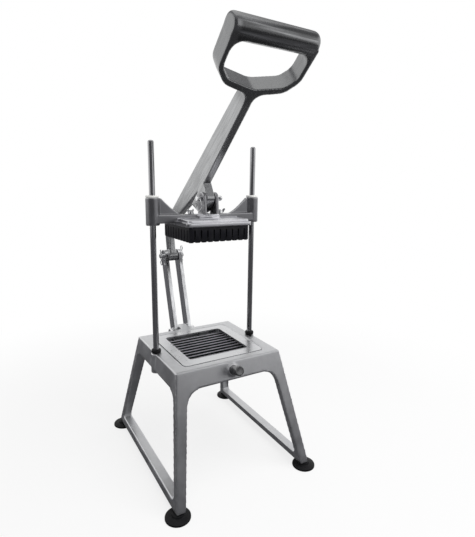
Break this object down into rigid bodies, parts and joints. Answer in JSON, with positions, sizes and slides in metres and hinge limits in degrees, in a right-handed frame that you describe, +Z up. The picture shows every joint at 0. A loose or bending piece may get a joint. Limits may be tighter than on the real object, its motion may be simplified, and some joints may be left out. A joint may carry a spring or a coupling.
{
  "type": "manual_food_chopper",
  "caption": "Hand-lever food chopper: cast aluminium stand with a blade grid, a finned pusher head on steel guide rods, and a long lever with a D-shaped grip",
  "frame": {"origin": "centre of the chopper's footprint, on the worktop under the feet", "axes": "+Z up, front of the chopper (lock knob and grip) towards -Y, +X to the right as seen from the front"},
  "size_m": [0.2704, 0.375, 0.6617],
  "materials": {
    "cast_aluminium": "satin casting",
    "polished_aluminium": "polished",
    "steel": "polished",
    "blade_steel": "brushed",
    "black_rubber": "matte",
    "black_plastic": "matte",
    "white_nylon": "matte"
  },
  "bodies": {
    "stand": {"base_frame": "cast_aluminium", "blade_frame": "cast_aluminium", "upper_blade_1": "blade_steel", "upper_blade_2": "blade_steel", "upper_blade_3": "blade_steel", "upper_blade_4": "blade_steel", "upper_blade_5": "blade_steel", "upper_blade_6": "blade_steel", "upper_blade_7": "blade_steel", "upper_blade_8": "blade_steel", "upper_blade_9": "blade_steel", "lower_blade_1": "blade_steel", "lower_blade_2": "blade_steel", "lower_blade_3": "blade_steel", "lower_blade_4": "blade_steel", "lower_blade_5": "blade_steel", "lower_blade_6": "blade_steel", "lower_blade_7": "blade_steel", "lower_blade_8": "blade_steel", "lower_blade_9": "blade_steel", "left_guide_rod": "steel", "right_guide_rod": "steel", "left_bumper": "black_rubber", "right_bumper": "black_rubber", "left_rod_nut": "steel", "right_rod_nut": "steel", "front_left_foot": "black_rubber", "front_right_foot": "black_rubber", "rear_left_foot": "black_rubber", "rear_right_foot": "black_rubber", "front_left_foot_screw": "steel", "front_right_foot_screw": "steel", "rear_left_foot_screw": "steel", "rear_right_foot_screw": "steel", "pivot_bolt": "steel", "pivot_nut": "steel", "left_washer": "steel", "right_washer": "steel"},
    "lock_knob": {"lock_knob": "polished_aluminium"},
    "head": {"crosshead": "cast_aluminium", "left_bush": "white_nylon", "right_bush": "white_nylon", "pusher_block": "black_plastic", "left_stud": "steel", "right_stud": "steel", "head_pin": "steel"},
    "left_wing": {"left_wing_nut": "steel"},
    "right_wing": {"right_wing_nut": "steel"},
    "pin_ring": {"head_pin_ring": "steel"},
    "links": {"left_link": "steel", "right_link": "steel", "link_pin": "steel", "left_clip": "steel", "right_clip": "steel"},
    "lever": {"lever": "polished_aluminium"}
  },
  "joints": [
    {"name": "lock_knob_turn", "type": "hinge", "parent": "stand", "child": "lock_knob", "pos_m": [0, -0.08183, 0.183], "axis": [0, -0.9537, 0.3007], "continuous": true},
    {"name": "head_slide", "type": "slide", "parent": "stand", "child": "head", "axis": [0, 0, -1], "range_m": [0, 0.2054]},
    {"name": "left_wing_turn", "type": "hinge", "parent": "head", "child": "left_wing", "pos_m": [-0.029, 0.00912, 0.424], "axis": [0, 0, 1], "continuous": true},
    {"name": "right_wing_turn", "type": "hinge", "parent": "head", "child": "right_wing", "pos_m": [0.029, 0.01712, 0.424], "axis": [0, 0, 1], "continuous": true},
    {"name": "ring_swing", "type": "hinge", "parent": "head", "child": "pin_ring", "pos_m": [-0.0177, 0.00197, 0.45], "axis": [0, 1, 0], "range_deg": [-4, 90]},
    {"name": "links_swing", "type": "hinge", "parent": "stand", "child": "links", "pos_m": [0, 0.12262, 0.184], "axis": [1, 0, 0], "range_deg": [-9.97, 0]},
    {"name": "lever_swing", "type": "hinge", "parent": "links", "child": "lever", "pos_m": [0, 0.16802, 0.3299], "axis": [1, 0, 0], "range_deg": [0, 67.39]}
  ],
  "couplings": [
    {"joint": "links_swing", "follows": "head_slide", "rad_per_m": -0.84698},
    {"joint": "lever_swing", "follows": "head_slide", "rad_per_m": 5.7258}
  ]
}
